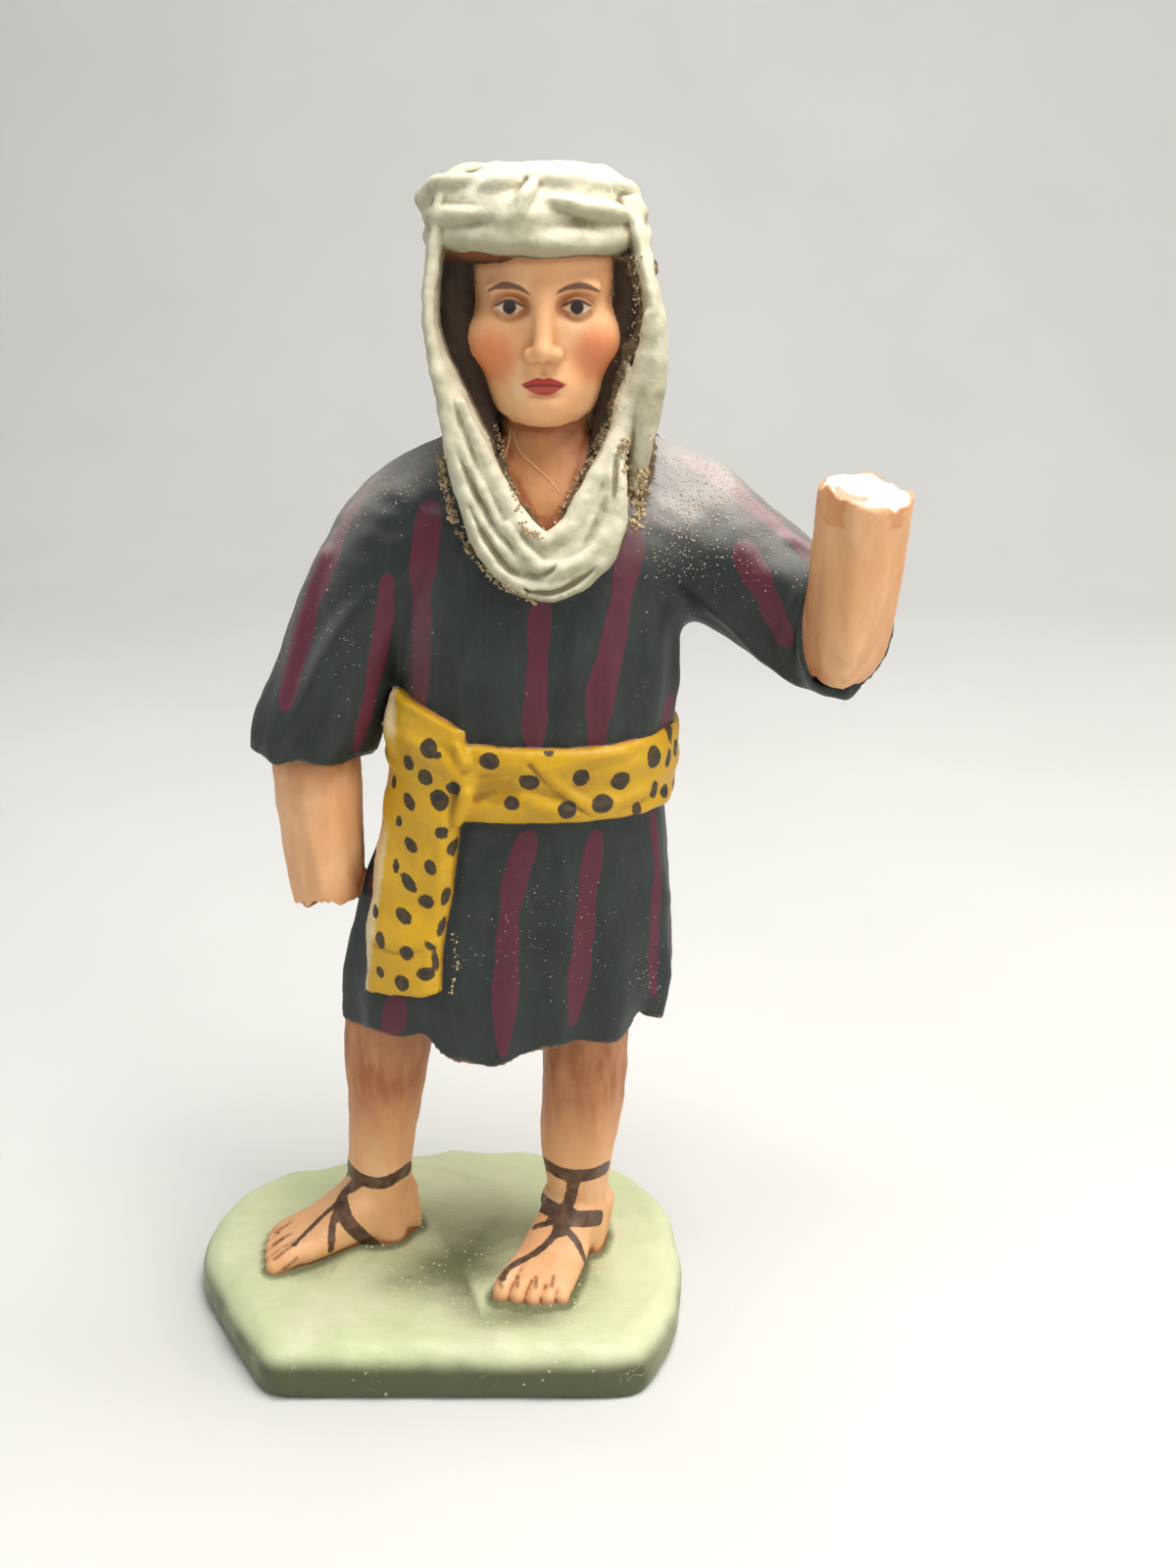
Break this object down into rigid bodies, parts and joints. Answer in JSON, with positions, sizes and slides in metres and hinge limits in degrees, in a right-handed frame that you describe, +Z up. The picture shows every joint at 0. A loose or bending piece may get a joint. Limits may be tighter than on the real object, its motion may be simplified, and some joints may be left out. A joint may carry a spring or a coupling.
{
  "type": "clay nativity figure",
  "caption": "Painted clay nativity shepherd in a striped tunic, spotted sash and wound headscarf, both hands broken off, on a green ground slab, for a crib scene.",
  "frame": {"origin": "on the flat underside of the ground slab, below the crossing of its two middle lines as seen from the front", "axes": "+Z up, -Y the way the figure faces, +X towards the figure's left"},
  "size_m": [0.0783, 0.0435, 0.13],
  "materials": {
    "painted_clay": "fired clay painted by hand in matt to satin colours: dark green tunic with maroon stripes, yellow sash with black spots, grey-green headscarf, flesh tones, pale green ground",
    "dried_glue": "brown crumbs of old glue and dirt left beside the headscarf"
  },
  "bodies": {
    "root": {"shepherd_figure": "painted_clay"}
  },
  "joints": []
}
